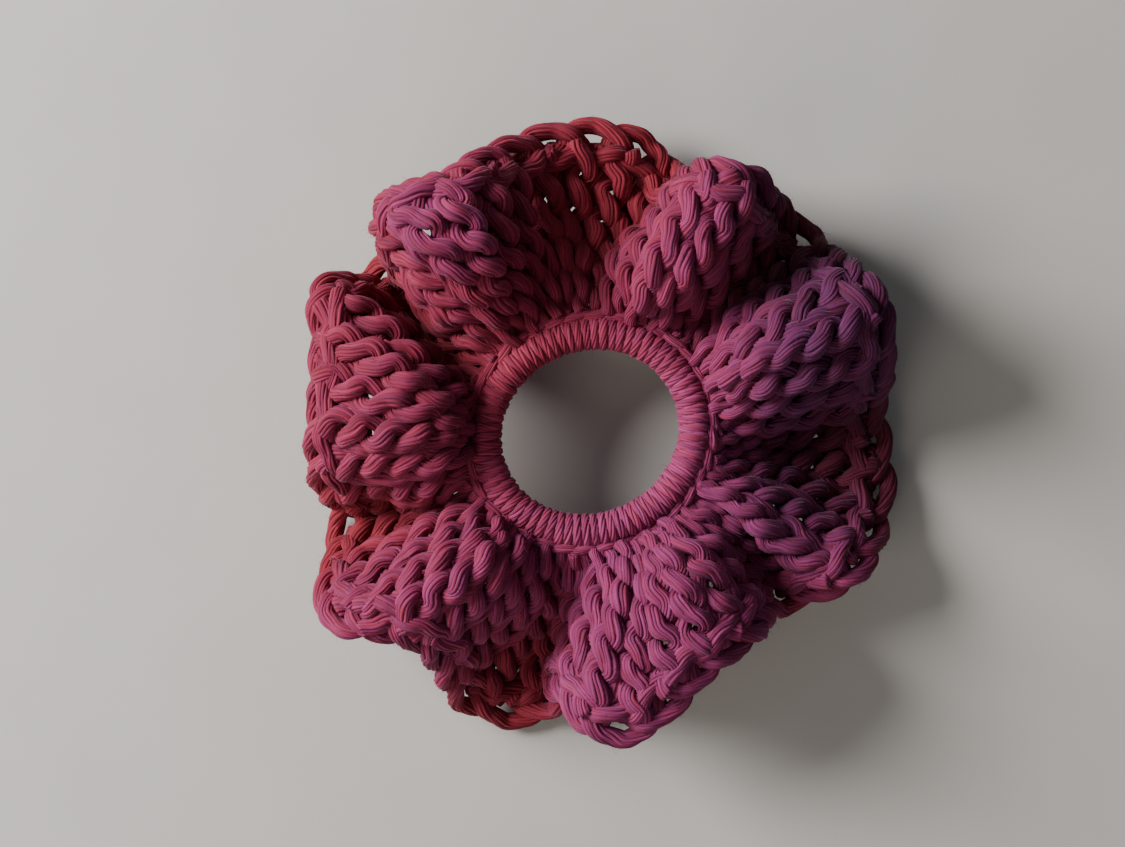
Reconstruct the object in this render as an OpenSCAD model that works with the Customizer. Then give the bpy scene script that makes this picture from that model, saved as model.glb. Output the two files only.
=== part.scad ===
// Crocheted hair scrunchie: a covered hair elastic, a round of single crochets worked tight over it,
// and one round of treble crochets, five to every three single crochets, that stands out as a ruffle.
// Millimetres, +Z up. The origin is the centre of the ring, and the ring lies in the XY plane.
// The ring opens wider by stretching, so it is divided into segments that move apart round the circle.

/* [Ring] */
// Radius of the hair elastic's centreline, relaxed
ring_r = 16.6; // [16.2:0.1:16.9]
// Radius of the hair elastic's cord
elastic_r = 1.6; // [1.2:0.1:1.7]
// Radius of the yarn where it is wrapped tight round the elastic
wrap_r = 0.5; // [0.3:0.05:0.52]
// Radius of the top loops that lie along the outside of the single crochets
loop_r = 0.7; // [0.4:0.05:0.8]
// Radius of the yarn's loose tails
tail_r = 0.45; // [0.3:0.05:0.5]

/* [Ruffle] */
// Radius of a treble's post where it leaves the ring
post_foot_r = 0.8; // [0.5:0.05:0.9]
// Radius of a treble's post under the rim
post_top_r = 1.3; // [0.8:0.05:1.4]
// Radius of the chain of top loops along the rim
rim_r = 1.9; // [1.2:0.1:2]
// Height of the ruffle's waves, as a share of their full height
wave = 1; // [0.7:0.05:1]

/* [Clearances] */
// Gap between pieces of yarn that lie on each other
lay_gap = 0.05; // [0.03:0.01:0.1]
// Gap between neighbouring segments of the ring
segment_gap = 0.3; // [0.2:0.05:0.5]
// Gap between neighbouring segments of the rim, and between the rim and the posts below it
rim_gap = 0.4; // [0.3:0.05:0.6]

/* [Hidden] */
$fn = 32;
crochets = 36;
crochet_angle = 360 / crochets;
wraps_per_crochet = 2;
wrap_angle = crochet_angle / wraps_per_crochet;
trebles = 60;
treble_angle = 360 / trebles;

// Single crochets in each segment, counted round from the place where the rounds join
segment_crochets = [1, 3, 3, 3, 3, 3, 3, 3, 3, 3, 3, 3, 1, 1];
segments = len(segment_crochets);
first_crochet_angle = 260;
first_treble_angle = 256;
tail_segment = 2;
last_segment = segments - 1;

wrap_orbit = elastic_r + lay_gap + wrap_r;
tube_r = wrap_orbit + wrap_r;
loop_ring_r = ring_r + tube_r + lay_gap + loop_r;
foot_r = loop_ring_r + loop_r + 0.7;
// How far round the rim runs ahead of the ring below it
rim_lead = 8;
// How far a post keeps to its first and last directions, as shares of the way from ring to rim
foot_share = 0.5;
top_share = 0.48;
gap_angle = segment_gap / ring_r * 180 / PI;
weld_angle = 2.5;

post_sides = 6;
post_spans = 6;
rim_sides = 8;
rim_spans_per_crochet = 5;

// The rim of the ruffle, anticlockwise from above: azimuth, distance from the centre, height, and the
// slopes at which the stitches below it leave the ring and reach the rim
rim_points = [
    // right valley
    [351, 48.5, -13, -44, 5],
    [358, 47, -13, -46, 5],
    [4.5, 46, -9, -28, 0],
    [9.5, 46.5, 0, 25, -5],
    // right-hand ridge
    [16, 47.5, 7, 60, -15],
    [24.5, 49, 10, 66, -20],
    [30, 48, 8, 60, -15],
    [34, 47.5, 1, 30, 0],
    // purple fold beside it
    [37.5, 47.5, -6, -15, 0],
    [41, 47.5, -10, -35, 0],
    [45.5, 47, -10, -35, 0],
    [49, 46.5, -5, -10, 0],
    // small ridge
    [52, 45.5, 3, 40, -5],
    [56, 46, 9, 64, -12],
    [62.5, 45, 11, 68, -12],
    [67.5, 44, 9, 64, -10],
    [69.8, 43, 3, 40, 0],
    // fold behind it
    [70.7, 42, -4, 0, 0],
    [72.6, 43, -8, -20, 0],
    [75.3, 44.9, -10, -28, 0],
    [78.5, 46.8, -9.5, -27, 0],
    // wide valley at the back
    [83, 47.7, -8, -25, 5],
    [89, 48, -7, -22, 5],
    [96, 47.5, -5, -20, 5],
    [102.5, 46.5, -2, -18, 0],
    // high curl
    [108, 45.5, 3, 0, -15],
    [113, 45, 8, 20, -32],
    [117.5, 45, 11, 32, -46],
    [122, 46, 12, 36, -52],
    [127, 47.5, 12, 36, -54],
    [132, 48, 11, 32, -50],
    [135.5, 46.5, 7, 20, -35],
    [137.6, 44.8, 2, 5, -10],
    // fold beside the curl
    [138.6, 43.4, -3.5, -28, 0],
    [139.4, 42.7, -8.3, -40, 0],
    [141.5, 42.3, -11.5, -46, 0],
    [145, 42.7, -11.5, -46, 0],
    [147.1, 43.8, -8, -30, 0],
    [148.2, 45.2, -3.7, 5, 0],
    // left-hand ridge
    [149.7, 46.7, 0.5, 45, -12],
    [152, 47.3, 3, 70, -22],
    [156, 46.4, 4.8, 78, -30],
    [162.5, 44.5, 5.5, 84, -38],
    [172, 43.5, 6, 86, -42],
    [181.5, 43.5, 5, 86, -42],
    [189, 43.5, 0, 70, -30],
    [194, 43, -6, 25, -5],
    // fold below it
    [197.5, 42, -12, -20, 0],
    [202, 43.5, -13, -32, 0],
    // front left ridge
    [207, 46.5, -9, -10, 0],
    [211, 49, -1, 35, -5],
    [215.5, 48.5, 6, 58, -8],
    [220.5, 45, 9, 68, -12],
    [227, 42.5, 9, 68, -15],
    [234, 42, 5, 60, -15],
    [239.5, 43.5, -2, 30, -5],
    // valley at the front
    [244, 47, -9, -10, 0],
    [250, 48.5, -13, -28, 0],
    [256.5, 47.5, -14, -35, 0],
    [261, 44.5, -12, -25, 0],
    // wide front ridge
    [262.5, 40.5, -5, 10, 0],
    [264.5, 40.5, 3, 48, -5],
    [268, 43.5, 8, 58, -10],
    [272.5, 46, 9, 60, -12],
    [278.5, 46.5, 9, 60, -12],
    [285, 43.5, 10, 66, -12],
    [293, 40.5, 11, 70, -12],
    [302.5, 39.5, 10, 68, -12],
    [310, 39.5, 6, 50, -8],
    [313.8, 39.5, 1, 30, 0],
    // low ridge at the front right
    [315.2, 39.7, -3, 14, 0],
    [316.4, 40, -6.2, 5, 0],
    [318.4, 40.8, -8.3, 0, 0],
    [321.2, 42.1, -8.6, -2, 0],
    [324.2, 43.9, -6.6, 3, 0],
    [327.6, 45.8, -3.8, 12, -5],
    [332, 47.3, -2.6, 14, -5],
    [337, 48.5, -5, -12, 0],
    [341.5, 49, -9, -28, 0],
    [346, 49, -11.5, -38, 0]
];

function radial(angle) = [cos(angle), sin(angle), 0];
function unit(v) = v / norm(v);
function across(v, along) = unit(v - (v * along) * along);
function place(v) = [v[0], v[1], v[2]];
function sloping(azimuth, slope) = [cos(azimuth) * cos(slope), sin(azimuth) * cos(slope), sin(slope)];

// A smooth closed curve through the rim's points; each point carries its two slopes as well
rim_count = len(rim_points);
rim_controls = [for (p = rim_points)
    [p[1] * cos(p[0]), p[1] * sin(p[0]), wave * p[2], wave * p[3], wave * p[4]]];
function control(k) = rim_controls[(k + rim_count) % rim_count];
function rim_curve(u) = let (k = floor(u), t = u - k, a = control(k - 1), b = control(k), c = control(k + 1),
    d = control(k + 2)) 0.5 * (2 * b + t * (c - a) + t * t * (2 * a - 5 * b + 4 * c - d)
    + t * t * t * (3 * b - a - 3 * c + d));

// Length along the rim against the curve's parameter, so that the stitches are spaced evenly
samples = 12 * rim_count;
sample_steps = [for (k = [0 : samples])
    norm(place(rim_curve((k + 1) / 12)) - place(rim_curve(k / 12)))];
sample_lengths = [for (k = 0, s = 0; k <= samples; s = s + sample_steps[k], k = k + 1) s];
rim_length = sample_lengths[samples];
length_table = [for (k = [0 : samples]) [sample_lengths[k], k / 12]];

// The rim above the angle at which a stitch leaves the ring
function rim_at(angle) = let (turn = (angle + rim_lead) / 360)
    rim_curve(lookup((turn - floor(turn)) * rim_length, length_table));
function rim_tangent(angle, step = 0.7) = unit(place(rim_at(angle + step)) - place(rim_at(angle - step)));

function treble_angle_at(t) = first_treble_angle + t * treble_angle;

// A treble's post as a cubic curve from its foot at the ring to the underside of the rim
function post_curve(t) = let (
    angle = treble_angle_at(t),
    rim = rim_at(angle),
    foot = foot_r * radial(angle),
    way = place(rim) - foot,
    arrival = sloping(atan2(way.y, way.x), rim[4]),
    along_rim = rim_tangent(angle, treble_angle / 2),
    drop = rim_r + rim_gap + post_top_r * abs(arrival * along_rim),
    top = place(rim) - drop * across(arrival, along_rim)
) [foot, foot + foot_share * norm(way) * sloping(angle, rim[3]), top - top_share * norm(way) * arrival, top];
function along_post(c, t) = pow(1 - t, 3) * c[0] + 3 * pow(1 - t, 2) * t * c[1]
    + 3 * (1 - t) * t * t * c[2] + t * t * t * c[3];
function post_path(curve, spans) = [for (k = [0 : spans]) along_post(curve, k / spans)];

// Angle where a segment starts, half way between two single crochets
function crochets_before(segment, k = 0) = k >= segment ? 0
    : segment_crochets[k] + crochets_before(segment, k + 1);
function segment_start(segment) = first_crochet_angle + (crochets_before(segment) - 0.5) * crochet_angle;
function segment_angle(segment) = segment_crochets[segment] * crochet_angle;
function first_treble(segment) = ceil((segment_start(segment) - first_treble_angle) / treble_angle);

function two_digits(n) = str(n < 10 ? "0" : "", n);
function numbered(name, segment) = str(name, "_", two_digits(segment + 1));
piece_names = ["elastic", "single_crochets", "treble_posts", "rim_chain"];

// The direction of a list of points at each of them
function directions(points) = let (last = len(points) - 1)
    [for (k = [0 : last]) unit(points[min(k + 1, last)] - points[max(k - 1, 0)])];

// A closed round tube through a list of points, with a radius and a direction at each
module tube(points, radii, sides, tangents) {
    last = len(points) - 1;
    upright = across(abs(tangents[0].z) > 0.9 ? [1, 0, 0] : [0, 0, 1], tangents[0]);
    normals = [for (k = 0, n = upright; k <= last;
        n = across(n, tangents[min(k + 1, last)]), k = k + 1) n];
    corners = [for (k = [0 : last], a = [0 : sides - 1]) points[k] + radii[k]
        * (cos(a * 360 / sides) * normals[k] + sin(a * 360 / sides) * cross(tangents[k], normals[k]))];
    walls = [for (k = [0 : last - 1], a = [0 : sides - 1], half = [0, 1]) let (
        b = (a + 1) % sides,
        near = k * sides,
        far = near + sides
    ) half == 0 ? [near + a, far + b, near + b] : [near + a, far + a, far + b]];
    start_cap = [for (a = [0 : sides - 1]) a];
    end_cap = [for (a = [sides - 1 : -1 : 0]) last * sides + a];
    polyhedron(corners, concat(walls, [start_cap, end_cap]));
}

// Part of a ring of round section, lying in the XY plane
module arc_tube(radius, section_r, start, angle) {
    rotate([0, 0, start])
        rotate_extrude(angle = angle)
            translate([radius, 0])
                circle(r = section_r);
}

// The hair elastic; the yarn's start tail lies pressed into its outer side in one segment
module elastic(segment) {
    welded = segment == 0 ? weld_angle + gap_angle / 4 : 0;
    color("#4a1c30")
        rotate([0, 0, segment_start(segment) + gap_angle / 2 + welded])
            rotate_extrude(angle = segment_angle(segment) - gap_angle - welded)
                difference() {
                    translate([ring_r, 0])
                        circle(r = elastic_r);
                    if (segment == tail_segment)
                        tail_groove();
                }
}

module tail_groove() {
    translate([ring_r + elastic_r - tail_r, 0])
        circle(r = tail_r + lay_gap / 2);
    translate([ring_r + elastic_r - tail_r, -tail_r])
        square([2 * tail_r, 2 * tail_r]);
}

// The joint that closes the hair elastic into a ring
module elastic_weld() {
    color("#2c101c")
        arc_tube(ring_r, elastic_r, segment_start(0) + gap_angle / 2, weld_angle);
}

module start_tail() {
    color("#9c3558")
        arc_tube(ring_r + elastic_r - tail_r, tail_r, segment_start(tail_segment) + 2 * gap_angle,
            segment_angle(tail_segment) - 4 * gap_angle);
}

// One turn of yarn round the elastic
module wrap(angle) {
    rotate([0, 0, angle])
        translate([ring_r, 0, 0])
            rotate([90, 0, 0])
                rotate_extrude()
                    translate([wrap_orbit, 0])
                        circle(r = wrap_r);
}

// Two turns of yarn for each single crochet, with the top loops lying along their outer side
module single_crochets(segment) {
    turns = wraps_per_crochet * segment_crochets[segment];
    loop_gap_angle = segment_gap / loop_ring_r * 180 / PI;
    color("#a83e60") {
        for (turn = [0 : turns - 1])
            wrap(segment_start(segment) + (turn + 0.5) * wrap_angle);
        arc_tube(loop_ring_r, loop_r, segment_start(segment) + loop_gap_angle / 2,
            segment_angle(segment) - loop_gap_angle);
    }
}

module treble_post(t) {
    radii = [for (k = [0 : post_spans]) post_foot_r + (post_top_r - post_foot_r) * k / post_spans];
    path = post_path(post_curve(t), post_spans);
    tube(path, radii, post_sides, directions(path));
}

// The posts of a segment's trebles; the first place in the round holds the starting chain instead
module treble_posts(segment) {
    color("#8f2f52")
        for (t = [max(first_treble(segment), 1) : first_treble(segment + 1) - 1])
            treble_post(t);
}

// Four chain stitches that stand in for the round's first treble
module starting_chain() {
    spans = 12;
    links = 4;
    radii = [for (k = [0 : spans]) (post_foot_r + (post_top_r - post_foot_r) * k / spans)
        * (0.85 + 0.15 * cos(360 * links * k / spans))];
    path = post_path(post_curve(0), spans);
    color("#9c3558")
        tube(path, radii, post_sides, directions(path));
}

// The trebles' top loops, joined into a chain along the rim
module rim_chain(segment) {
    steps = segment_crochets[segment] * rim_spans_per_crochet;
    end_gap = rim_gap / 2 / rim_length * 360;
    start = segment_start(segment) + end_gap;
    span = segment_angle(segment) - 2 * end_gap;
    angles = [for (k = [0 : steps]) start + span * k / steps];
    color("#a83e60")
        tube([for (a = angles) place(rim_at(a))], [for (a = angles) rim_r], rim_sides,
            [for (a = angles) rim_tangent(a)]);
}

// The yarn's end, knotted under the rim and woven down behind the last treble to the ring
module end_tail() {
    spans = 8;
    knot_r = 1;
    offset_down = post_top_r + tail_r + rim_gap;
    path = post_path(post_curve(trebles - 1), spans);
    points = [for (k = [1 : spans - 1]) let (
        along = unit(path[k + 1] - path[k - 1]),
        side = unit(cross(along, rim_tangent(treble_angle_at(trebles - 1))))
    ) path[k] - offset_down * sign(side.z) * side];
    color("#9c3558") {
        tube(points, [for (p = points) tail_r], post_sides, directions(points));
        translate(points[len(points) - 1])
            sphere(r = knot_r);
    }
}

for (segment = [0 : last_segment]) {
    elastic(segment);
    single_crochets(segment);
    treble_posts(segment);
    rim_chain(segment);
}
elastic_weld();
start_tail();
starting_chain();
end_tail();
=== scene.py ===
import math

import bpy
import numpy as np
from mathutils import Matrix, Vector


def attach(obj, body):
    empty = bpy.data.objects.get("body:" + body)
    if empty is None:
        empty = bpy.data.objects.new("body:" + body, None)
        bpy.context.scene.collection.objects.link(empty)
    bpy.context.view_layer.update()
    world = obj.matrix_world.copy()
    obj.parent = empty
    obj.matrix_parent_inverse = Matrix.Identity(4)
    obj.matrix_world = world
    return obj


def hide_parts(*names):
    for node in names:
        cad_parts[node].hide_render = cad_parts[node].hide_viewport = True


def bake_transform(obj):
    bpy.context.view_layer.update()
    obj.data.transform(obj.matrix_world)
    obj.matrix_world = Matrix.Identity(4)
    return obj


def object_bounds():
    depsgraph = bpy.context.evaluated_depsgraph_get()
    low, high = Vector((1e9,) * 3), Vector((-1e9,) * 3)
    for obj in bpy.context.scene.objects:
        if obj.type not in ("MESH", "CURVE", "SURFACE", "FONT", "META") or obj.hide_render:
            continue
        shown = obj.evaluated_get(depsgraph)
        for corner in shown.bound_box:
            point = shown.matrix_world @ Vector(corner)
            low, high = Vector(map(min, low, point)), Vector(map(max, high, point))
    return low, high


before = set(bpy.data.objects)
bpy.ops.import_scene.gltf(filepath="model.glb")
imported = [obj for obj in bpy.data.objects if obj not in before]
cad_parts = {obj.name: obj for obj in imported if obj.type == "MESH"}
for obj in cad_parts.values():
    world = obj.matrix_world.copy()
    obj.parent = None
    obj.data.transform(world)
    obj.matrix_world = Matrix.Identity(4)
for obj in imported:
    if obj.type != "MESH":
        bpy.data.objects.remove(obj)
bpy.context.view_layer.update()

# The scrunchie's lengths are in millimetres, as on a drawing, and MM turns them into Blender's metres.
# Angles are in degrees. The floor, lights and camera are in metres.
MM = 0.001

# The ring and its stitches
CROCHETS = 36
CROCHET_ANGLE = 360 / CROCHETS
FIRST_CROCHET_ANGLE = 260
TREBLES = 60
TREBLE_ANGLE = 360 / TREBLES
FIRST_TREBLE_ANGLE = 256
RING_R = 16.6
RING_OVAL = 0.75
RING_OVAL_AT = 25
WRAP_ORBIT = 2.12
WRAP_ANGLE = CROCHET_ANGLE / 2
WRAP_R = 0.62
WRAP_OVERLAP = 1.04
WRAP_SLANT = 0.22
WRAP_POINTS = 32
LOOP_RING_R = 19.7
LOOP_DROP = 0.3
LOOP_R = 0.95

# The elastic. Its braided cover's relief has 8 waves round the cord and 84 along the whole ring. Its
# last end, a little thinner, is tucked into its first.
ELASTIC_R = 1.6
BRAID_STRANDS = 8
BRAID_WAVES = 84
BRAID_DEPTH = 0.1
BRAID_SIDES = 48
BRAID_STEP = 0.5
TUCK_ANGLE = 8
TUCK_GAP = 0.06

# The posts, from the ring to the rim, which they meet RIM_LEAD further round. Each is a curve whose
# two middle control points stand at these shares of its reach from its foot and its top.
FOOT_R = 19.8
RIM_LEAD = 8
FOOT_SHARE = 0.5
TOP_SHARE = 0.48
POST_POINTS = 60
POST_UNEVENNESS = 0.2

# A treble's two front strands, which twist round each other, and the filler behind them
HALF_TURN = 5.2
FILLER_DEPTH = 1.3
FILLER_SWAY = 0.3
TREBLE_FUZZ = 110

# Chain stitches: how far each loop reaches before and past its own stitch, as shares of the pitch.
# LINK_SPREAD brings its shape to a half width of 1, and its returning arm is wider still.
LINK_BACK = 0.1
LINK_FORWARD = 1.35
LINK_SPREAD = 1.3
RETURNING_ARM = 1.3
LINK_POINTS = 80
LINK_UNEVENNESS = 0.1

# The tails and the knot
START_TAIL_ANGLES = (276, 304)
START_TAIL_R = 0.45
END_TAIL_R = 0.5
END_TAIL_DEPTH = 2.6
END_TAIL_SWAY = 0.9
END_TAIL_WAVE = 9
KNOT_YARN_R = 0.55
KNOT_R = 0.8

# The yarn. A strand is a core with plies laid round it, and their reach and radii are shares of its
# own. FIBRE_RATE is how fast the pattern of fibres runs along it, and fuzz is its loose fibres.
STRAND_R = 1.45
POINT_SPACING = 0.5
OUTER_PLIES = 15
PLY_SIDES = 5
PLY_REACH = 0.8
PLY_R = 0.22
PLY_WANDER = 0.14
PLY_LIFT = 0.05
CORE_R = 0.9
CORE_SIDES = 12
CORE_SHADE = 0.2
TWIST_PITCH = 32
FIBRE_RATE = 0.22
FUZZ_R = 0.025
FUZZ_POINTS = 6
FUZZ_SIDES = 3
# Loose fibres take more of the painted cool light than their strand.
FUZZ_PAINTED_LIGHT = 0.2

# Segments of the ring that move apart as it stretches, by the single crochets in each
SEGMENT_CROCHETS = [1] + [3] * 11 + [1, 1]
# A length in metres: the depth of the yarn's finest relief
BUMP_DEPTH = 0.0001

# The rim of the ruffle, anticlockwise from above: azimuth, distance from the centre, height, and the
# slopes at which the stitches below it leave the ring and reach the rim. The CAD model has this list.
RIM_POINTS = [
    # right valley
    (351, 48.5, -13, -44, 5), (358, 47, -13, -46, 5), (4.5, 46, -9, -28, 0), (9.5, 46.5, 0, 25, -5),
    # right-hand ridge
    (16, 47.5, 7, 60, -15), (24.5, 49, 10, 66, -20), (30, 48, 8, 60, -15), (34, 47.5, 1, 30, 0),
    # purple fold beside it
    (37.5, 47.5, -6, -15, 0), (41, 47.5, -10, -35, 0), (45.5, 47, -10, -35, 0), (49, 46.5, -5, -10, 0),
    # small ridge
    (52, 45.5, 3, 40, -5), (56, 46, 9, 64, -12), (62.5, 45, 11, 68, -12), (67.5, 44, 9, 64, -10),
    (69.8, 43, 3, 40, 0),
    # fold behind it
    (70.7, 42, -4, 0, 0), (72.6, 43, -8, -20, 0), (75.3, 44.9, -10, -28, 0), (78.5, 46.8, -9.5, -27, 0),
    # wide valley at the back
    (83, 47.7, -8, -25, 5), (89, 48, -7, -22, 5), (96, 47.5, -5, -20, 5), (102.5, 46.5, -2, -18, 0),
    # high curl
    (108, 45.5, 3, 0, -15), (113, 45, 8, 20, -32), (117.5, 45, 11, 32, -46), (122, 46, 12, 36, -52),
    (127, 47.5, 12, 36, -54), (132, 48, 11, 32, -50), (135.5, 46.5, 7, 20, -35),
    (137.6, 44.8, 2, 5, -10),
    # fold beside the curl
    (138.6, 43.4, -3.5, -28, 0), (139.4, 42.7, -8.3, -40, 0), (141.5, 42.3, -11.5, -46, 0),
    (145, 42.7, -11.5, -46, 0), (147.1, 43.8, -8, -30, 0), (148.2, 45.2, -3.7, 5, 0),
    # left-hand ridge
    (149.7, 46.7, 0.5, 45, -12), (152, 47.3, 3, 70, -22), (156, 46.4, 4.8, 78, -30),
    (162.5, 44.5, 5.5, 84, -38), (172, 43.5, 6, 86, -42), (181.5, 43.5, 5, 86, -42),
    (189, 43.5, 0, 70, -30), (194, 43, -6, 25, -5),
    # fold below it
    (197.5, 42, -12, -20, 0), (202, 43.5, -13, -32, 0),
    # front left ridge
    (207, 46.5, -9, -10, 0), (211, 49, -1, 35, -5), (215.5, 48.5, 6, 58, -8), (220.5, 45, 9, 68, -12),
    (227, 42.5, 9, 68, -15), (234, 42, 5, 60, -15), (239.5, 43.5, -2, 30, -5),
    # valley at the front
    (244, 47, -9, -10, 0), (250, 48.5, -13, -28, 0), (256.5, 47.5, -14, -35, 0),
    (261, 44.5, -12, -25, 0),
    # wide front ridge
    (262.5, 40.5, -5, 10, 0), (264.5, 40.5, 3, 48, -5), (268, 43.5, 8, 58, -10),
    (272.5, 46, 9, 60, -12), (278.5, 46.5, 9, 60, -12), (285, 43.5, 10, 66, -12),
    (293, 40.5, 11, 70, -12), (302.5, 39.5, 10, 68, -12), (310, 39.5, 6, 50, -8),
    (313.8, 39.5, 1, 30, 0),
    # low ridge at the front right
    (315.2, 39.7, -3, 14, 0), (316.4, 40, -6.2, 5, 0), (318.4, 40.8, -8.3, 0, 0),
    (321.2, 42.1, -8.6, -2, 0), (324.2, 43.9, -6.6, 3, 0), (327.6, 45.8, -3.8, 12, -5),
    (332, 47.3, -2.6, 14, -5), (337, 48.5, -5, -12, 0), (341.5, 49, -9, -28, 0),
    (346, 49, -11.5, -38, 0),
]

random = np.random.default_rng(7)


# --- curves and frames ---------------------------------------------------------------------------

def radial(angle):
    a = math.radians(angle)
    return np.array([math.cos(a), math.sin(a), 0.0])


def unit(v):
    return v / np.maximum(np.linalg.norm(v, axis=-1, keepdims=True), 1e-12)


def across(v, along):
    """The part of v that is square to along, at unit length."""
    return unit(v - np.sum(v * along, axis=-1, keepdims=True) * along)


def smooth(t):
    t = np.clip(t, 0, 1)
    return t * t * (3 - 2 * t)


def lengths_along(path):
    steps = np.linalg.norm(np.diff(path, axis=0), axis=1)
    return np.concatenate([[0], np.cumsum(steps)])


def respaced(path, spacing):
    """The same line with evenly spaced points."""
    at = lengths_along(path)
    count = max(4, int(round(at[-1] / spacing)) + 1)
    even = np.linspace(0, at[-1], count)
    return np.stack([np.interp(even, at, path[:, k]) for k in range(path.shape[1])], axis=1)


def closed_spline(controls, steps):
    """A smooth closed curve through the control points, each with steps points after it."""
    points = []
    count = len(controls)
    for k in range(count):
        a, b, c, d = (controls[(k + j) % count] for j in (-1, 0, 1, 2))
        for t in np.arange(steps) / steps:
            points.append(0.5 * (2 * b + t * (c - a) + t ** 2 * (2 * a - 5 * b + 4 * c - d)
                                 + t ** 3 * (3 * b - a - 3 * c + d)))
    return np.array(points + [points[0]])


def rim_controls():
    rows = []
    for azimuth, distance, height, leaving, arriving in RIM_POINTS:
        x, y, _ = distance * radial(azimuth)
        rows.append([x, y, height, leaving, arriving])
    return np.array(rows)


RIM_LINE = closed_spline(rim_controls(), 12)
RIM_AT = lengths_along(RIM_LINE[:, :3])
RIM_LENGTH = RIM_AT[-1]
RIM_PITCH = RIM_LENGTH / TREBLES


def rim_at(angles):
    """Points of the rim (x, y, height, slopes) above the angles at which stitches leave the ring."""
    at = ((np.asarray(angles, float) + RIM_LEAD) / 360 % 1) * RIM_LENGTH
    return np.stack([np.interp(at, RIM_AT, RIM_LINE[:, k]) for k in range(5)], axis=-1)


def rim_tangent(angles, step=0.9):
    angles = np.asarray(angles, float)
    return unit(rim_at(angles + step)[..., :3] - rim_at(angles - step)[..., :3])


def ring_radius(angle):
    """The ring lies slightly oval."""
    return RING_R + RING_OVAL * math.cos(math.radians(2 * (angle - RING_OVAL_AT)))


def treble_angle(t):
    return FIRST_TREBLE_ANGLE + t * TREBLE_ANGLE


def carried_normals(tangents, first):
    """Normals carried along a line without twisting, from a first one."""
    normals = np.empty_like(tangents)
    n = across(first, tangents[0])
    for k, t in enumerate(tangents):
        n = across(n, t)
        normals[k] = n
    return normals


def wave(turns):
    """A sine that starts anywhere in its cycle."""
    return np.sin(2 * math.pi * (turns + random.random()))


# --- yarn ----------------------------------------------------------------------------------------

class Strand:
    """A strand's path, with its directions and widths along it. flat scales its section across the
    normals and along them."""

    def __init__(self, path, radius, normals, flat, closed, tone):
        if closed:
            tangents = unit(np.roll(path, -1, axis=0) - np.roll(path, 1, axis=0))
        else:
            tangents = unit(np.gradient(path, axis=0))
        if normals is None:
            normals = carried_normals(tangents, np.array([0.1, 0.2, 1.0]))
        else:
            normals = across(normals, tangents)
        count = len(path)
        self.path, self.tangents, self.normals, self.closed = path, tangents, normals, closed
        self.sideways = np.cross(tangents, normals)
        self.at = lengths_along(path)
        self.length = self.at[-1] + (np.linalg.norm(path[0] - path[-1]) if closed else 0)
        self.share = self.at / self.length
        self.radius = np.broadcast_to(radius, count)
        self.flat_side = np.broadcast_to(flat[0], count)
        self.flat_normal = np.broadcast_to(flat[1], count)
        self.tone = np.broadcast_to(tone, count)

    def rings(self, angle, reach, tube_r, around):
        """Rings of a tube whose centre lies at an angle and a reach from the strand's centre."""
        c, s = np.cos(angle), np.sin(angle)
        y = reach[:, None] * c[:, None] + tube_r[:, None] * np.cos(around + angle[:, None])
        x = reach[:, None] * s[:, None] + tube_r[:, None] * np.sin(around + angle[:, None])
        return (self.path[:, None] + (x * self.flat_side[:, None])[..., None] * self.sideways[:, None]
                + (y * self.flat_normal[:, None])[..., None] * self.normals[:, None])

    def fibre(self, around, offset):
        """Coordinates for the fibre pattern, round each ring and along the strand."""
        shape = (len(self.path), len(around))
        angles = np.broadcast_to(around, shape)
        return np.stack([np.cos(angles), np.sin(angles),
                         np.broadcast_to((self.at * FIBRE_RATE + offset)[:, None], shape)], axis=-1)


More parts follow.
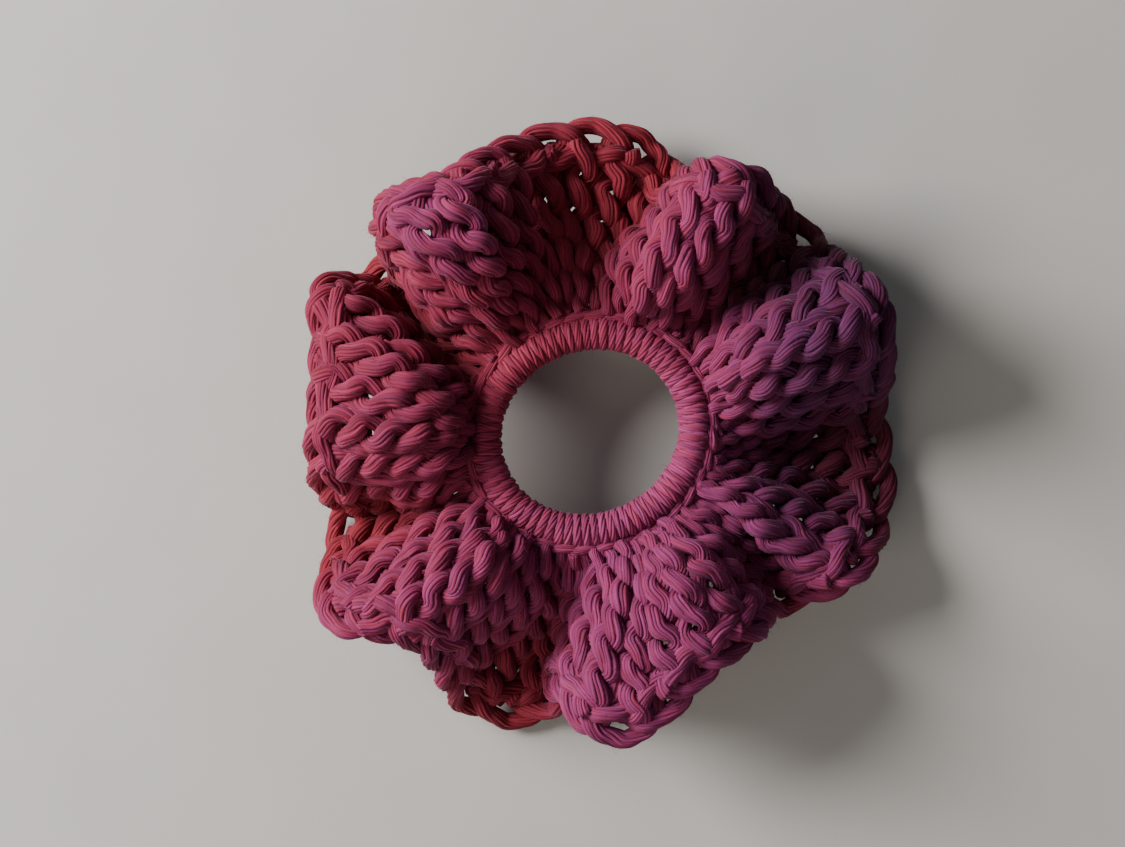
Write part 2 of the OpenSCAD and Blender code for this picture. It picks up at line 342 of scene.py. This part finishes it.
class Knit:
    """Collects strands of yarn into one mesh."""

    def __init__(self):
        self.points, self.quads, self.caps = [], [], []
        self.fibre, self.ply, self.tone = [], [], []
        self.count = 0

    def tube(self, rings, closed, fibre, ply, tone):
        """Adds a tube from an array of rings (ring, side, xyz)."""
        n, sides = rings.shape[:2]
        start = self.count
        self.points.append(rings.reshape(-1, 3))
        self.fibre.append(fibre.reshape(-1, 3))
        self.ply.append(np.full(n * sides, ply))
        self.tone.append(np.repeat(tone, sides))
        self.count += n * sides
        last = n if closed else n - 1
        k = np.arange(last)[:, None]
        a = np.arange(sides)[None]
        b = (a + 1) % sides
        here, there = start + k * sides, start + (k + 1) % n * sides
        self.quads.append(np.stack([here + a, here + b, there + b, there + a], axis=-1).reshape(-1, 4))
        if not closed:
            self.caps.append(start + np.arange(sides)[::-1])
            self.caps.append(start + (n - 1) * sides + np.arange(sides))

    def strand(self, path, radius, normals=None, flat=(1.0, 1.0), closed=False, plies=OUTER_PLIES,
               twist=None, tone=0.0, fuzz=0):
        """Adds a strand of yarn along a path. twist is in turns over its length, and fuzz counts the
        fibres that stand off it."""
        strand = Strand(path, radius, normals, flat, closed, tone)
        self.add_plies(strand, plies, strand.length / TWIST_PITCH if twist is None else twist)
        self.add_core(strand)
        for k in random.integers(1, len(path) - 1, fuzz):
            self.add_hair(strand, k)

    def add_plies(self, strand, plies, twist):
        start_turn = random.uniform(0, 2 * math.pi)
        around = np.arange(PLY_SIDES) / PLY_SIDES * 2 * math.pi
        for j in range(plies):
            waves = random.integers(1, 4)
            wander = PLY_WANDER * wave(waves * strand.share)
            lift = 1 + PLY_LIFT * wave((waves + 1) * strand.share) + random.uniform(-0.03, 0.03)
            angle = start_turn + 2 * math.pi * (j / plies + twist * strand.share) + wander
            reach = PLY_REACH * strand.radius * lift
            ply_r = PLY_R * OUTER_PLIES / plies * random.uniform(0.95, 1.15) * strand.radius
            fibre = strand.fibre(around, random.uniform(0, 90))
            self.tube(strand.rings(angle, reach, ply_r, around), strand.closed, fibre,
                      random.random(), strand.tone)

    def add_core(self, strand):
        around = np.arange(CORE_SIDES) / CORE_SIDES * 2 * math.pi
        centre = np.zeros(len(strand.path))
        rings = strand.rings(centre, centre, CORE_R * strand.radius, around)
        self.tube(rings, strand.closed, strand.fibre(around, 0), CORE_SHADE, strand.tone)

    def add_hair(self, strand, k):
        """A loose fibre that leaves the strand's surface at its point k."""
        angle = random.uniform(0, 2 * math.pi)
        out = math.cos(angle) * strand.normals[k] + math.sin(angle) * strand.sideways[k]
        sideways_drift = random.uniform(-0.9, 0.9) * np.cross(out, strand.tangents[k])
        drift = random.choice([-1, 1]) * strand.tangents[k] + sideways_drift
        s = np.linspace(0, 1, FUZZ_POINTS)[:, None]
        reach = random.uniform(0.7, 2.3)
        hair = (strand.path[k] + strand.radius[k] * 0.95 * out + reach * s * (0.8 * drift + 0.1 * out)
                + reach * random.uniform(-0.1, 0.4) * s ** 2 * out)
        thin = FUZZ_R * (1 - 0.6 * s)[..., None]
        along = unit(np.gradient(hair, axis=0))
        a = carried_normals(along, out + 0.01)
        b = np.cross(along, a)
        turn = (np.arange(FUZZ_SIDES) / FUZZ_SIDES * 2 * math.pi)[None, :, None]
        rings = hair[:, None] + thin * (np.cos(turn) * a[:, None] + np.sin(turn) * b[:, None])
        self.tube(rings[:, ::-1], False, np.zeros_like(rings), random.random(),
                  np.full(FUZZ_POINTS, strand.tone[k] + FUZZ_PAINTED_LIGHT))

    def build(self, name, material, slot_name):
        points = np.concatenate(self.points)
        quads = np.concatenate(self.quads)
        loops = np.concatenate([quads.ravel(), *self.caps])
        sizes = np.concatenate([np.full(len(quads), 4), [len(c) for c in self.caps]])
        starts = np.concatenate([[0], np.cumsum(sizes)[:-1]])
        mesh = bpy.data.meshes.new(name)
        mesh.vertices.add(len(points))
        mesh.vertices.foreach_set("co", (points * MM).astype(np.float32).ravel())
        mesh.loops.add(len(loops))
        mesh.loops.foreach_set("vertex_index", loops.astype(np.int32))
        mesh.polygons.add(len(sizes))
        mesh.polygons.foreach_set("loop_start", starts.astype(np.int32))
        mesh.update(calc_edges=True)
        mesh.validate()
        mesh.polygons.foreach_set("use_smooth", np.ones(len(mesh.polygons), bool))
        for label, kind, values in (("fibre", "FLOAT_VECTOR", self.fibre), ("ply", "FLOAT", self.ply),
                                    ("tone", "FLOAT", self.tone), ("dark", "FLOAT", [painted_shade_right(points)])):
            data = np.concatenate(values).astype(np.float32).ravel()
            field = "vector" if kind == "FLOAT_VECTOR" else "value"
            mesh.attributes.new(label, kind, "POINT").data.foreach_set(field, data)
        mesh.materials.append(material)
        obj = bpy.data.objects.new(name, mesh)
        bpy.context.scene.collection.objects.link(obj)
        return obj


# --- painted light and shade on the yarn ---------------------------------------------------------

def painted_shade_right(points):
    """Painted shade for the light's fall-off: 1 at the right, fading out towards the middle and the
    front.
    """
    return smooth((points[:, 0] - 17) / 17) * smooth((points[:, 1] + 30) / 22)


def toward_front(path):
    """1 at the front right of the ring, falling towards the back left; there the painted cool light is
    strongest.
    """
    azimuth = np.arctan2(path[:, 1], path[:, 0])
    return np.clip(0.62 + 0.5 * np.cos(azimuth - math.radians(318)), 0, 1)


def ruffle_painted_light(path):
    """Painted cool light: how far the colour turns from crimson to mauve, on ridges and crests, most at
    the front.
    """
    front = toward_front(path)
    height = smooth((path[:, 2] + 6 + 12 * front) / (14 + 5 * front))
    return height * (0.2 + 0.8 * front) + 0.45 * smooth((path[:, 2] - 10) / 5)


# Painted cool light on the ring: mauve at the front, crimson at the back left.
def ring_painted_light(path):
    return 0.05 + 0.85 * toward_front(path)


# --- the way each stitch moves as the ring stretches ---------------------------------------------

def segment_centres():
    centres, before = [], 0
    for count in SEGMENT_CROCHETS:
        centres.append(FIRST_CROCHET_ANGLE + (before + (count - 1) / 2) * CROCHET_ANGLE)
        before += count
    return centres


CENTRES = segment_centres()
SEGMENTS = [f"segment_{k + 1:02d}" for k in range(len(CENTRES))]


def ride_ring(obj, angle):
    """The piece moves with the ring's segment at this angle. A piece between two segments' middles keeps
    its place, with its transform baked into its mesh.
    """
    if angle <= CENTRES[0]:
        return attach(obj, SEGMENTS[0])
    if angle >= CENTRES[-1]:
        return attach(obj, SEGMENTS[-1])
    k = max(i for i, c in enumerate(CENTRES) if c <= angle)
    if angle == CENTRES[k]:
        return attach(obj, SEGMENTS[k])
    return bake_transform(obj)


def segment_number(angle):
    """The number in the names of the segment that holds this angle."""
    crochet = int((angle - FIRST_CROCHET_ANGLE) / CROCHET_ANGLE + 0.5)
    before = 0
    for k, count in enumerate(SEGMENT_CROCHETS):
        before += count
        if crochet < before:
            return k + 1
    raise ValueError(angle)


# --- materials -----------------------------------------------------------------------------------

def nodes_of(name):
    material = bpy.data.materials.new(name)
    material.use_nodes = True
    tree = material.node_tree
    return material, tree, tree.nodes["Principled BSDF"]


def attribute(tree, name):
    node = tree.nodes.new("ShaderNodeAttribute")
    node.attribute_name = name
    return node.outputs


def object_place(tree):
    return tree.nodes.new("ShaderNodeTexCoord").outputs["Object"]


def scaled(tree, vector, scale):
    node = tree.nodes.new("ShaderNodeVectorMath")
    node.operation = "MULTIPLY"
    node.inputs[1].default_value = scale
    tree.links.new(vector, node.inputs[0])
    return node.outputs[0]


def noise(tree, vector, scale, detail):
    node = tree.nodes.new("ShaderNodeTexNoise")
    node.inputs["Scale"].default_value = scale
    node.inputs["Detail"].default_value = detail
    tree.links.new(vector, node.inputs["Vector"])
    return node.outputs["Fac"]


def computed(tree, operation, *values, clamped=False):
    """The result of some arithmetic on values, each a number or another node's output."""
    node = tree.nodes.new("ShaderNodeMath")
    node.operation = operation
    node.use_clamp = clamped
    for socket, value in zip(node.inputs, values):
        if isinstance(value, float):
            socket.default_value = value
        else:
            tree.links.new(value, socket)
    return node.outputs[0]


def mapped(tree, value, old, new):
    """A value taken from an old range to a new one."""
    node = tree.nodes.new("ShaderNodeMapRange")
    for end, limit in zip(("From Min", "From Max", "To Min", "To Max"), (*old, *new)):
        node.inputs[end].default_value = limit
    tree.links.new(value, node.inputs["Value"])
    return node.outputs["Result"]


def ramp(tree, value, first, *between, last):
    """Colours by value; each stop is a position and a colour."""
    node = tree.nodes.new("ShaderNodeValToRGB")
    stops = node.color_ramp.elements
    for stop, (position, colour) in ((stops[0], first), (stops[1], last)):
        stop.position = position
        stop.color = (*colour, 1)
    for position, colour in between:
        stops.new(position).color = (*colour, 1)
    tree.links.new(value, node.inputs["Fac"])
    return node.outputs["Color"]


def mix(tree, blend_type, factor, a):
    """A colour mixer with its factor and first colour set."""
    node = tree.nodes.new("ShaderNodeMix")
    node.data_type = "RGBA"
    node.blend_type = blend_type
    tree.links.new(factor, node.inputs["Factor"])
    tree.links.new(a, node.inputs["A"])
    return node


def add_bump(tree, shader, height, strength):
    node = tree.nodes.new("ShaderNodeBump")
    node.inputs["Strength"].default_value = strength
    node.inputs["Distance"].default_value = BUMP_DEPTH
    tree.links.new(height, node.inputs["Height"])
    tree.links.new(node.outputs["Normal"], shader.inputs["Normal"])


def yarn_material(name, dark, middle, light, mauve):
    """Matte cotton dyed unevenly: each ply has its own shade, with fine fibres along it. The mesh says
    how far painted cool light turns the colour from crimson to mauve (tone), and where painted shade
    darkens it (dark)."""
    material, tree, shader = nodes_of(name)
    fibre = attribute(tree, "fibre")["Vector"]
    streaks = noise(tree, scaled(tree, fibre, (2.2, 2.2, 1.4)), scale=2.6, detail=4)
    ply_shade = computed(tree, "MULTIPLY", attribute(tree, "ply")["Fac"], 0.38)
    shade = computed(tree, "MULTIPLY_ADD", streaks, 0.62, ply_shade)
    crimsons = ramp(tree, shade, (0.22, dark), (0.55, middle), last=(0.9, light))
    mauves = ramp(tree, shade, (0.2, [0.55 * v for v in mauve]), last=(0.95, [1.35 * v for v in mauve]))

    drift = noise(tree, scaled(tree, fibre, (0.2, 0.2, 0.7)), scale=1.6, detail=1)
    uneven_dye = computed(tree, "MULTIPLY_ADD", drift, 2.4, -0.3)
    # The mauve share is painted cool light, varied along each ply by its uneven dye.
    mauve_share = computed(tree, "MULTIPLY", attribute(tree, "tone")["Fac"], uneven_dye, clamped=True)
    dyed = mix(tree, "MIX", mauve_share, crimsons)
    tree.links.new(mauves, dyed.inputs["B"])
    # Painted shade: a bluish darkening at the right, where the light falls off.
    painted_shade_mix = mix(tree, "MULTIPLY", attribute(tree, "dark")["Fac"], dyed.outputs["Result"])
    painted_shade_mix.inputs["B"].default_value = (0.4, 0.48, 0.6, 1)
    tree.links.new(painted_shade_mix.outputs["Result"], shader.inputs["Base Color"])

    add_bump(tree, shader, streaks, strength=0.3)
    tree.links.new(mapped(tree, streaks, (0, 1), (0.62, 0.9)), shader.inputs["Roughness"])
    shader.inputs["Specular IOR Level"].default_value = 0.2
    shader.inputs["Sheen Weight"].default_value = 0.12
    shader.inputs["Sheen Roughness"].default_value = 0.4
    shader.inputs["Sheen Tint"].default_value = (0.95, 0.62, 0.86, 1)
    return material


def elastic_material():
    """Dark braided cover of the hair elastic. The mesh's fibre attribute holds the braid's relief, and
    its colour is painted shade from that relief: lightest at its top, darkest in its grooves."""
    material, tree, shader = nodes_of("elastic_cover")
    relief = tree.nodes.new("ShaderNodeSeparateXYZ")
    tree.links.new(attribute(tree, "fibre")["Vector"], relief.inputs[0])
    painted_relief_shade = mapped(tree, relief.outputs["X"], (-0.8, 0.8), (0, 1))
    colours = ramp(tree, painted_relief_shade, (0, (0.02, 0.005, 0.012)), last=(1, (0.14, 0.03, 0.065)))
    tree.links.new(colours, shader.inputs["Base Color"])
    threads = noise(tree, object_place(tree), scale=2500, detail=2)
    add_bump(tree, shader, threads, strength=0.5)
    shader.inputs["Roughness"].default_value = 0.7
    return material


def floor_material():
    material, tree, shader = nodes_of("floor")
    grain = noise(tree, object_place(tree), scale=60, detail=2)
    colours = ramp(tree, grain, (0, (0.46, 0.43, 0.385)), last=(1, (0.50, 0.47, 0.42)))
    tree.links.new(colours, shader.inputs["Base Color"])
    shader.inputs["Roughness"].default_value = 0.9
    return material


# The mauve colours stand in for cool light on the ridges and at the front: painted light.
RUFFLE_YARN = yarn_material("ruffle_yarn", (0.12, 0.007, 0.012), (0.23, 0.015, 0.026),
                            (0.34, 0.033, 0.05), (0.25, 0.032, 0.115))
RING_YARN = yarn_material("ring_yarn", (0.14, 0.009, 0.018), (0.26, 0.02, 0.038),
                          (0.38, 0.042, 0.07), (0.31, 0.042, 0.135))
ELASTIC = elastic_material()


# --- stitches ------------------------------------------------------------------------------------

def sloping(azimuth, slope):
    a, b = math.radians(azimuth), math.radians(slope)
    return np.array([math.cos(a) * math.cos(b), math.sin(a) * math.cos(b), math.sin(b)])


class Post:
    """The axis of a treble's post, from the ring to the rim, with the directions along the fabric
    (side) and out of it (normal)."""

    def __init__(self, t):
        angle = treble_angle(t)
        out = radial(angle)
        rim = rim_at(angle)
        tangent = rim_tangent(angle, TREBLE_ANGLE / 2)
        foot = (FOOT_R + ring_radius(angle) - RING_R) * out
        top = rim[:3]
        way = top - foot
        reach = np.linalg.norm(way)
        arrival = sloping(math.degrees(math.atan2(way[1], way[0])), rim[4])
        controls = [foot, foot + FOOT_SHARE * reach * sloping(angle, rim[3]),
                    top - TOP_SHARE * reach * arrival, top]
        s = np.linspace(0, 1, POST_POINTS)[:, None]
        self.line = ((1 - s) ** 3 * controls[0] + 3 * (1 - s) ** 2 * s * controls[1]
                     + 3 * (1 - s) * s ** 2 * controls[2] + s ** 3 * controls[3])
        self.at = lengths_along(self.line)
        self.length = self.at[-1]
        self.along = unit(np.gradient(self.line, axis=0))
        round_ring = np.cross([0, 0, 1], out)
        share = smooth(self.at / self.length)[:, None]
        self.side = across((1 - share) * round_ring + share * tangent, self.along)
        self.normal = np.cross(self.along, self.side)


POSTS = [Post(t) for t in range(TREBLES)]


def treble(t):
    """A treble's post: two strands that twist round each other, as wide as there is room for, and a
    third that fills the gap behind them. Every other treble is a quarter turn further into its twist,
    and stands in front of its neighbours near the ring."""
    post = POSTS[t]
    knit = Knit()
    at, length = post.at, post.length
    room = np.linalg.norm(POSTS[(t + 1) % TREBLES].line - POSTS[t - 1].line, axis=1) / 2
    radius = STRAND_R * (0.6 + 0.4 * smooth(at / 11))
    radius = radius * (1 + 0.09 * wave(at / random.uniform(5, 8)))
    reach = np.clip(0.5 * room - 0.55 * radius, 0.4, 1.9) * random.uniform(0.88, 1.1)
    depth = radius * 0.78
    turn = HALF_TURN * random.uniform(0.88, 1.12)
    interlock = math.pi / 2 * (t % 2)
    phase = math.pi * (length - at) / turn + interlock + random.uniform(-0.3, 0.3)
    sway = 0.3 * wave(at / length * 1.5) * smooth(at / 8)
    front = 0.5 if t % 2 else -0.5
    step_back = front * (1 - smooth(at / 12))
    gap = 0.5 * room * smooth((at - 4) / 8)
    filler = radius * (1 + 0.3 * smooth((room - 4.5) / 3))
    strands = [(sway + reach * np.cos(phase), step_back + depth * np.sin(phase), radius),
               (sway - reach * np.cos(phase), step_back - depth * np.sin(phase), radius),
               (gap + FILLER_SWAY * np.sin(phase), FILLER_SWAY * np.cos(phase) - FILLER_DEPTH, filler)]
    for u, n, width in strands:
        path = respaced(post.line + u[:, None] * post.side + n[:, None] * post.normal, POINT_SPACING)
        path = uneven(path, POST_UNEVENNESS)
        share = np.linspace(0, 1, len(path))
        knit.strand(path, np.interp(share, at / length, width), normals=resampled(post.normal, len(path)),
                    flat=(1.04, 0.94), tone=ruffle_painted_light(path), fuzz=TREBLE_FUZZ)
    return knit


def uneven(path, amount):
    """Small bends by chance, as stitches made by hand have."""
    at = lengths_along(path)
    for wavelength in (4.5, 8.0):
        away = unit(random.normal(size=3))
        path = path + amount * wave(at / wavelength)[:, None] * away
    return path


def resampled(values, count):
    old = np.linspace(0, 1, len(values))
    new = np.linspace(0, 1, count)
    return np.stack([np.interp(new, old, values[:, k]) for k in range(values.shape[1])], axis=1)


def chain_link(knit, place, pitch, width, climb, lean, strand_r, tone, fuzz):
    """One loop of a chain: a V whose point comes up through the loop before, lies over that loop's
    head, and spreads until its own head passes under the next. lean turns the V's plane about the
    chain. place(x) gives the chain's point, side and outward directions x along it."""
    theta = np.linspace(0.2, 2 * math.pi - 0.2, LINK_POINTS)
    back, forward = LINK_BACK * pitch, LINK_FORWARD * pitch
    x = -back + (1 - np.cos(theta)) / 2 * (back + forward)
    spread = width * LINK_SPREAD * np.sin(theta) * np.sin(theta / 2)
    spread = np.where(spread < 0, RETURNING_ARM, 1.0) * spread
    sunk = 1 - smooth(np.minimum(theta, 2 * math.pi - theta) / 1.1)
    over = climb * np.cos(theta) - 3 * climb * sunk
    centre, side, outward = place(x)
    c, s = math.cos(lean), math.sin(lean)
    path = centre + spread[:, None] * (c * side - s * outward) + over[:, None] * (s * side + c * outward)
    path = uneven(respaced(path, POINT_SPACING), LINK_UNEVENNESS * strand_r)
    knit.strand(path, strand_r, tone=tone(path), fuzz=fuzz)


def rim_place(t):
    """The rim's points and directions near a treble, for the loop that it adds to the chain."""
    def place(x):
        angles = treble_angle(t) + x / RIM_PITCH * TREBLE_ANGLE
        rim = rim_at(angles)
        centre = rim[:, :3]
        tangent = rim_tangent(angles)
        foot = FOOT_R * np.stack([radial(v) for v in angles])
        way = centre - foot
        azimuth = np.degrees(np.arctan2(way[:, 1], way[:, 0]))
        arrival = np.stack([sloping(a, b) for a, b in zip(azimuth, rim[:, 4])])
        outward = across(arrival, tangent)
        return centre, np.cross(outward, tangent), outward
    return place


def loop_place(c):
    """The ring's outer side near a single crochet, for its top loop."""
    def place(x):
        angles = FIRST_CROCHET_ANGLE + c * CROCHET_ANGLE + np.degrees(x / LOOP_RING_R)
        out = np.stack([radial(v) for v in angles])
        oval = np.array([ring_radius(v) - RING_R for v in angles])
        centre = (LOOP_RING_R + oval)[:, None] * out - np.array([0, 0, LOOP_DROP])
        up = np.broadcast_to(np.array([0.0, 0.0, 1.0]), out.shape)
        return centre, up, out
    return place


def wrap(knit, angle):
    """One turn of yarn round the elastic, slightly slanted, and just wide enough to press against the
    turns beside it."""
    theta = np.arange(WRAP_POINTS) / WRAP_POINTS * 2 * math.pi
    out = radial(angle)
    round_ring = np.cross([0, 0, 1], out)
    radius = ring_radius(angle)
    orbit = WRAP_ORBIT + random.uniform(-0.08, 0.08)
    slant = WRAP_SLANT + random.uniform(-0.18, 0.18)
    centre = radius * out
    spoke = np.cos(theta)[:, None] * out + np.sin(theta)[:, None] * np.array([0, 0, 1.0])
    path = centre + orbit * spoke + slant * np.cos(theta)[:, None] * round_ring
    width = (radius + orbit * np.cos(theta)) * math.radians(WRAP_ANGLE) * 0.5 * WRAP_OVERLAP
    knit.strand(path, WRAP_R, normals=spoke, flat=(width / WRAP_R, 0.9), closed=True, plies=8, twist=1,
                tone=ring_painted_light(path), fuzz=10)


def make_trebles():
    for t in range(TREBLES):
        knit = treble(t)
        chain_link(knit, rim_place(t), RIM_PITCH, width=2.6, climb=0.95, lean=1.25, strand_r=STRAND_R,
                   tone=ruffle_painted_light, fuzz=90)
        name = "starting_chain_stitch" if t == 0 else f"treble_{t + 1:02d}"
        obj = knit.build(name, RUFFLE_YARN, "ruffle_yarn")
        number = segment_number(treble_angle(t))
        post_node = "starting_chain" if t == 0 else f"treble_posts_{number:02d}"
        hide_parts(post_node, f"rim_chain_{number:02d}")
        ride_ring(obj, treble_angle(t))


def make_crochets():
    for c in range(CROCHETS):
        knit = Knit()
        angle = FIRST_CROCHET_ANGLE + c * CROCHET_ANGLE
        for off in (-0.5, 0.5):
            wrap(knit, angle + off * WRAP_ANGLE)
        pitch = LOOP_RING_R * math.radians(CROCHET_ANGLE)
        chain_link(knit, loop_place(c), pitch, width=1.0, climb=0.45, lean=0.2, strand_r=LOOP_R,
                   tone=ring_painted_light, fuzz=16)
        obj = knit.build(f"single_crochet_{c + 1:02d}", RING_YARN, "ring_yarn")
        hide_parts(f"single_crochets_{segment_number(angle):02d}")
        ride_ring(obj, angle)


def braided_cord(name, start, end, section_r):
    """The elastic's cord along the ring between two angles, with the relief of its braided cover."""
    around = np.arange(BRAID_SIDES) / BRAID_SIDES * 2 * math.pi
    spoke_out = np.cos(around)[:, None]
    spoke_up = np.sin(around)[:, None] * np.array([0, 0, 1.0])
    rows, heights = [], []
    for angle in np.linspace(start, end, int((end - start) / BRAID_STEP) + 2):
        relief = np.cos(BRAID_STRANDS * around) * math.cos(BRAID_WAVES * math.radians(angle))
        surface_r = section_r - BRAID_DEPTH + BRAID_DEPTH * relief
        out = radial(angle)
        rows.append(ring_radius(angle) * out + surface_r[:, None] * (spoke_out * out + spoke_up))
        # The relief, which the material turns into painted shade in the braid's grooves.
        heights.append(np.stack([relief, relief, relief], axis=-1))
    rings = np.array(rows)[:, ::-1]
    knit = Knit()
    knit.tube(rings, False, np.array(heights)[:, ::-1], 0.5, np.zeros(len(rings)))
    return knit.build(name, ELASTIC, "elastic")


def make_elastic():
    """The hair elastic, in pieces from each segment's middle to the next, and its two ends."""
    opening = FIRST_CROCHET_ANGLE - CROCHET_ANGLE / 2
    for k in range(len(CENTRES) - 1):
        obj = braided_cord(f"elastic_span_{k + 1:02d}", CENTRES[k], CENTRES[k + 1], ELASTIC_R)
        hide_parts(f"elastic_{k + 1:02d}")
        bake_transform(obj)
    first = braided_cord("elastic_end_a", opening, CENTRES[0], ELASTIC_R)
    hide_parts("elastic_01", "elastic_weld")
    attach(first, SEGMENTS[0])
    last = braided_cord("elastic_end_b", CENTRES[-1], opening + 360 + TUCK_ANGLE, ELASTIC_R - TUCK_GAP)
    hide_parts(f"elastic_{len(CENTRES):02d}")
    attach(last, SEGMENTS[-1])


def make_tails():
    """The yarn's two tails: one under the first wraps, one knotted at the rim and woven down."""
    angles = np.linspace(*START_TAIL_ANGLES, 24)
    path = np.array([(ring_radius(a) + ELASTIC_R - 0.35) * radial(a) for a in angles])
    knit = Knit()
    knit.strand(respaced(path, POINT_SPACING), START_TAIL_R, tone=0.2)
    start = knit.build("start_tail_yarn", RING_YARN, "ring_yarn")
    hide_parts("start_tail")
    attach(start, SEGMENTS[2])
    post = POSTS[-1]
    knit = Knit()
    rows = (post.at > 2) & (post.at < post.length - 3)
    weave = END_TAIL_SWAY * np.sin(post.at[rows] * 2 * math.pi / END_TAIL_WAVE)
    path = post.line[rows] - END_TAIL_DEPTH * post.normal[rows] + weave[:, None] * post.side[rows]
    path = respaced(path, POINT_SPACING)
    knit.strand(path, END_TAIL_R, tone=ruffle_painted_light(path))
    centre = path[-1]
    a = np.linspace(0, 4 * math.pi, 60)
    side, out = post.side[-1], post.along[-1]
    knot = (centre + KNOT_R * np.cos(a)[:, None] * side + KNOT_R * np.sin(a)[:, None] * post.normal[-1]
            + (0.16 * a - 1)[:, None] * out)
    knot = respaced(knot, POINT_SPACING)
    knit.strand(knot, KNOT_YARN_R, tone=ruffle_painted_light(knot))
    end = knit.build("end_tail_yarn", RUFFLE_YARN, "ruffle_yarn")
    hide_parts("end_tail")
    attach(end, SEGMENTS[-1])


# --- floor, light and camera ---------------------------------------------------------------------

def make_floor(low):
    """A square of floor at the object's lowest height, in metres."""
    reach = 3.0
    corners = [(-reach, -reach, low), (reach, -reach, low), (reach, reach, low), (-reach, reach, low)]
    mesh = bpy.data.meshes.new("floor")
    mesh.from_pydata(corners, [], [(0, 1, 2, 3)])
    floor = bpy.data.objects.new("floor", mesh)
    mesh.materials.append(floor_material())
    bpy.context.scene.collection.objects.link(floor)


def area_light(name, place, target, size, power, colour):
    data = bpy.data.lights.new(name, "AREA")
    data.shape = "DISK"
    data.size = size
    data.energy = power
    data.color = colour
    light = bpy.data.objects.new(name, data)
    light.location = place
    direction = Vector(target) - Vector(place)
    light.rotation_euler = direction.to_track_quat("-Z", "Y").to_euler()
    bpy.context.scene.collection.objects.link(light)


def make_lights():
    area_light("key", (-0.52, 0.20, 0.34), (0, 0, 0), 0.34, 10.0, (0.95, 0.96, 1.0))
    area_light("fill", (-0.42, -0.52, 0.48), (0, 0, 0), 0.6, 2.3, (1.0, 0.92, 0.86))
    world = bpy.data.worlds.new("studio")
    world.use_nodes = True
    world.node_tree.nodes["Background"].inputs["Color"].default_value = (0.86, 0.91, 1.0, 1)
    world.node_tree.nodes["Background"].inputs["Strength"].default_value = 0.17
    bpy.context.scene.world = world


def make_camera():
    """Looks straight down, with the scrunchie a little right of and below the middle."""
    data = bpy.data.cameras.new("camera")
    data.lens = 68
    data.sensor_width = 36
    camera = bpy.data.objects.new("camera", data)
    camera.location = (-0.0045, 0.0014, 0.348)
    camera.rotation_euler = (0, 0, 0)
    bpy.context.scene.collection.objects.link(camera)
    bpy.context.scene.camera = camera


make_camera()
make_lights()
make_trebles()
make_crochets()
make_elastic()
make_tails()

visual_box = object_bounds()
make_floor(visual_box[0][2])
